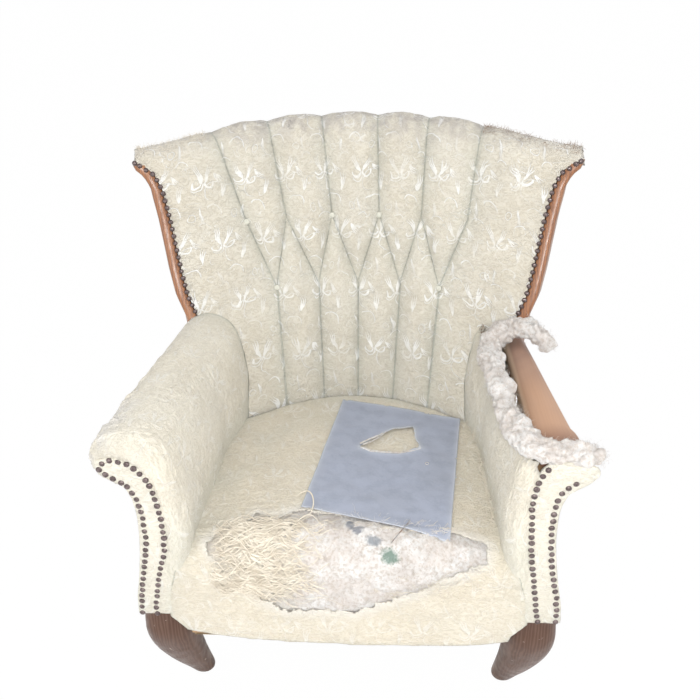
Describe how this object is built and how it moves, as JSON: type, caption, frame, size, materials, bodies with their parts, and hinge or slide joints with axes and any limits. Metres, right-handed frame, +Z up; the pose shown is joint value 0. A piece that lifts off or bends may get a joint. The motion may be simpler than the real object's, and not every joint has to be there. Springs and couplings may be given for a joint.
{
  "type": "upholstered armchair",
  "caption": "Low upholstered tub armchair with a fluted, buttoned back, rolled arms, polished edge rails, a torn seat with a loose cloth patch and one arm laid bare to the wood.",
  "frame": {"origin": "on the floor under the centre of the chair's bounding box", "axes": "+Z up, the chair faces -Y, +X to the right of someone who looks at its front"},
  "size_m": [0.8732, 0.7548, 0.977],
  "materials": {
    "polished_wood": "old brown polish with a soft gloss, rubbed at the edges",
    "frame_wood": "bare sawn hardwood",
    "brocade": "cream woven brocade with raised flowers, dull and soiled",
    "stuffing": "loose cotton batting",
    "burlap": "coarse jute cloth and webbing",
    "patch_cloth": "plain blue-grey cloth, mottled",
    "spring_steel": "dull steel wire"
  },
  "bodies": {
    "root": {"back_pad": "brocade", "back_rail": "frame_wood", "back_tacking_rail": "frame_wood", "coil_spring_1": "spring_steel", "coil_spring_2": "spring_steel", "coil_spring_3": "spring_steel", "coil_spring_4": "spring_steel", "coil_spring_5": "spring_steel", "coil_spring_6": "spring_steel", "coil_spring_7": "spring_steel", "coil_spring_8": "spring_steel", "coil_spring_9": "spring_steel", "crest_rail": "frame_wood", "dust_cover": "burlap", "front_rail": "frame_wood", "left_arm_board": "polished_wood", "left_arm_facing": "brocade", "left_arm_pad": "brocade", "left_arm_post": "frame_wood", "left_arm_tacking_rail": "frame_wood", "left_back_post": "frame_wood", "left_front_corner_block": "frame_wood", "left_front_leg": "polished_wood", "left_outside_arm": "brocade", "left_rear_corner_block": "frame_wood", "left_show_rail": "polished_wood", "left_side_rail": "frame_wood", "outside_back": "brocade", "right_arm_batting": "stuffing", "right_arm_board": "polished_wood", "right_arm_facing": "brocade", "right_arm_pad": "brocade", "right_arm_post": "frame_wood", "right_arm_tacking_rail": "frame_wood", "right_back_post": "frame_wood", "right_front_corner_block": "frame_wood", "right_front_leg": "polished_wood", "right_outside_arm": "brocade", "right_rear_corner_block": "frame_wood", "right_show_rail": "polished_wood", "right_side_rail": "frame_wood", "seat_cover": "brocade", "seat_pad": "stuffing", "seat_patch": "patch_cloth", "spring_deck": "burlap", "webbing_crosswise_front": "burlap", "webbing_crosswise_middle": "burlap", "webbing_crosswise_rear": "burlap", "webbing_lengthwise_left": "burlap", "webbing_lengthwise_middle": "burlap", "webbing_lengthwise_right": "burlap"}
  },
  "joints": []
}
